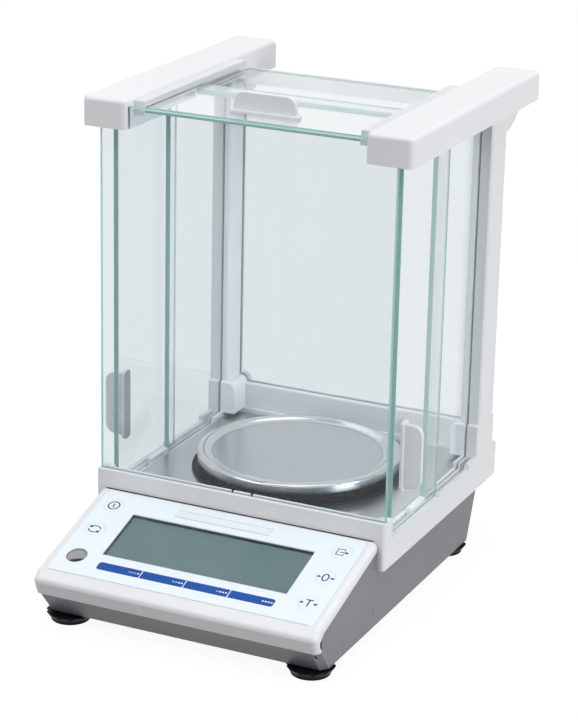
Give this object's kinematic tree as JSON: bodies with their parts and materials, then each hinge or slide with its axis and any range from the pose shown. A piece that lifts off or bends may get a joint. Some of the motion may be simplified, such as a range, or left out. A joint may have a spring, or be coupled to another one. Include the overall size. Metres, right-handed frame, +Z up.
{
  "type": "laboratory balance",
  "caption": "Precision laboratory balance with a sloping key panel, a round steel pan and a tall glass draft shield with sliding side and top panes.",
  "frame": {"origin": "on the table under the middle of the whole object's bounding box", "axes": "+X to the user's right, +Y from the key panel to the back, +Z up"},
  "size_m": [0.1978, 0.2666, 0.2907],
  "materials": {
    "white_plastic": "satin",
    "grey_plastic": "satin",
    "light_grey_plastic": "satin",
    "black_plastic": "satin",
    "pale_sheet": "smooth",
    "key_caps": "smooth",
    "clear_plastic": "clear",
    "display": "smooth",
    "shield_glass": "clear",
    "brushed_steel": "brushed",
    "polished_steel": "polished",
    "foot_rubber": "matt",
    "brass": "turned",
    "cast_aluminium": "cast",
    "circuit_board": "satin"
  },
  "bodies": {
    "base": {"lower_case": "grey_plastic", "console_cover": "white_plastic", "membrane_overlay": "pale_sheet", "lcd_window": "clear_plastic", "lcd_module": "display", "display_board": "circuit_board", "bubble_vial": "clear_plastic", "vial_holder": "light_grey_plastic", "shield_tray": "white_plastic", "floor_plate": "brushed_steel", "draft_ring": "black_plastic", "pan_support": "black_plastic", "pan_post": "polished_steel", "front_glass": "shield_glass", "rear_glass": "shield_glass", "left_rear_pane": "shield_glass", "right_rear_pane": "shield_glass", "top_rear_pane": "shield_glass", "rear_fence": "white_plastic", "left_column": "white_plastic", "right_column": "white_plastic", "left_rail_cover": "white_plastic", "right_rail_cover": "white_plastic", "left_rail_end_cap": "white_plastic", "right_rail_end_cap": "white_plastic", "left_side_guide": "white_plastic", "right_side_guide": "white_plastic", "left_top_guide": "white_plastic", "right_top_guide": "white_plastic", "rear_top_bar": "white_plastic", "track_stops": "white_plastic", "foot_bushes": "brass", "chassis_plate": "cast_aluminium", "fork_sensor": "cast_aluminium", "load_lever": "cast_aluminium", "main_board": "circuit_board", "serial_connector": "brushed_steel", "power_jack": "black_plastic", "case_screws": "brushed_steel", "side_blanking_plate": "grey_plastic"},
    "left_door": {"left_door_glass": "shield_glass", "left_door_handle": "white_plastic"},
    "right_door": {"right_door_glass": "shield_glass", "right_door_handle": "white_plastic"},
    "top_door": {"top_door_glass": "shield_glass", "top_door_handle": "white_plastic"},
    "pan": {"weighing_pan": "polished_steel"},
    "key_power": {"key_power": "key_caps"},
    "key_menu": {"key_menu": "key_caps"},
    "key_output": {"key_output": "key_caps"},
    "key_zero": {"key_zero": "key_caps"},
    "key_tare": {"key_tare": "key_caps"},
    "foot_front_left": {"foot_pad_front_left": "foot_rubber"},
    "wheel_front_left": {"foot_wheel_front_left": "black_plastic"},
    "foot_front_right": {"foot_pad_front_right": "foot_rubber"},
    "wheel_front_right": {"foot_wheel_front_right": "black_plastic"},
    "foot_rear_left": {"foot_pad_rear_left": "foot_rubber"},
    "wheel_rear_left": {"foot_wheel_rear_left": "black_plastic"},
    "foot_rear_right": {"foot_pad_rear_right": "foot_rubber"},
    "wheel_rear_right": {"foot_wheel_rear_right": "black_plastic"}
  },
  "joints": [
    {"name": "left_door_slide", "type": "slide", "parent": "base", "child": "left_door", "axis": [0, 1, 0], "range_m": [-0.004, 0.054]},
    {"name": "right_door_slide", "type": "slide", "parent": "base", "child": "right_door", "axis": [0, 1, 0], "range_m": [-0.004, 0.054]},
    {"name": "top_door_slide", "type": "slide", "parent": "base", "child": "top_door", "axis": [0, 1, 0], "range_m": [0, 0.059]},
    {"name": "pan_lift", "type": "slide", "parent": "base", "child": "pan", "axis": [0, 0, 1], "range_m": [0, 0.06]},
    {"name": "power_press", "type": "slide", "parent": "base", "child": "key_power", "axis": [0, 0.2907, -0.9568], "range_m": [0, 0.0004], "stiffness_N_per_m": 600},
    {"name": "menu_press", "type": "slide", "parent": "base", "child": "key_menu", "axis": [0, 0.2907, -0.9568], "range_m": [0, 0.0004], "stiffness_N_per_m": 600},
    {"name": "output_press", "type": "slide", "parent": "base", "child": "key_output", "axis": [0, 0.2907, -0.9568], "range_m": [0, 0.0004], "stiffness_N_per_m": 600},
    {"name": "zero_press", "type": "slide", "parent": "base", "child": "key_zero", "axis": [0, 0.2907, -0.9568], "range_m": [0, 0.0004], "stiffness_N_per_m": 600},
    {"name": "tare_press", "type": "slide", "parent": "base", "child": "key_tare", "axis": [0, 0.2907, -0.9568], "range_m": [0, 0.0004], "stiffness_N_per_m": 600},
    {"name": "foot_front_left_lift", "type": "slide", "parent": "base", "child": "foot_front_left", "axis": [0, 0, -1], "range_m": [-0.0005, 0.004]},
    {"name": "wheel_front_left_turn", "type": "hinge", "parent": "foot_front_left", "child": "wheel_front_left", "pos_m": [-0.074, -0.11235, 0], "axis": [0, 0, -1], "range_deg": [-182, 1442]},
    {"name": "foot_front_right_lift", "type": "slide", "parent": "base", "child": "foot_front_right", "axis": [0, 0, -1], "range_m": [-0.0005, 0.004]},
    {"name": "wheel_front_right_turn", "type": "hinge", "parent": "foot_front_right", "child": "wheel_front_right", "pos_m": [0.074, -0.11235, 0], "axis": [0, 0, -1], "range_deg": [-182, 1442]},
    {"name": "foot_rear_left_lift", "type": "slide", "parent": "base", "child": "foot_rear_left", "axis": [0, 0, -1], "range_m": [-0.0005, 0.004]},
    {"name": "wheel_rear_left_turn", "type": "hinge", "parent": "foot_rear_left", "child": "wheel_rear_left", "pos_m": [-0.074, 0.07565, 0], "axis": [0, 0, -1], "range_deg": [-182, 1442]},
    {"name": "foot_rear_right_lift", "type": "slide", "parent": "base", "child": "foot_rear_right", "axis": [0, 0, -1], "range_m": [-0.0005, 0.004]},
    {"name": "wheel_rear_right_turn", "type": "hinge", "parent": "foot_rear_right", "child": "wheel_rear_right", "pos_m": [0.074, 0.07565, 0], "axis": [0, 0, -1], "range_deg": [-182, 1442]}
  ],
  "couplings": [
    {"joint": "wheel_front_left_turn", "follows": "foot_front_left_lift", "rad_per_m": 6283.2},
    {"joint": "wheel_front_right_turn", "follows": "foot_front_right_lift", "rad_per_m": 6283.2},
    {"joint": "wheel_rear_left_turn", "follows": "foot_rear_left_lift", "rad_per_m": 6283.2},
    {"joint": "wheel_rear_right_turn", "follows": "foot_rear_right_lift", "rad_per_m": 6283.2}
  ]
}
